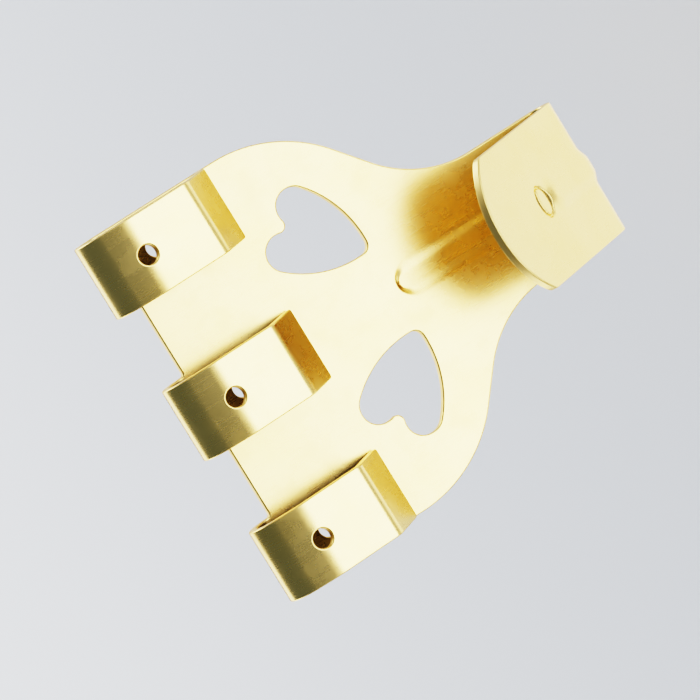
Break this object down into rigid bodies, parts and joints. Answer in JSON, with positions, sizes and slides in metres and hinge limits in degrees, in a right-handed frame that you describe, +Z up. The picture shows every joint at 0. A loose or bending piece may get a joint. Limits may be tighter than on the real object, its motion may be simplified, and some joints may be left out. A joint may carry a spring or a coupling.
{
  "type": "picture hook",
  "caption": "Brass picture hook folded from sheet, with forward-folded pin guides, heart-shaped openings and a narrow ribbed hook with an arched tongue.",
  "frame": {"origin": "on the plate's back face, on the hook's centre line, level with the start of the shoulders, 12.2 mm below the plate's top edge", "axes": "+Z up the wall as hung, +Y into the wall (the back face is Y = 0 and the hook stands in front of it, towards -Y), +X to the right seen from the front; symmetric about X = 0"},
  "size_m": [0.036, 0.0147, 0.0443],
  "materials": {
    "brass": "bright polished plating"
  },
  "bodies": {
    "root": {"picture_hook": "brass"}
  },
  "joints": []
}
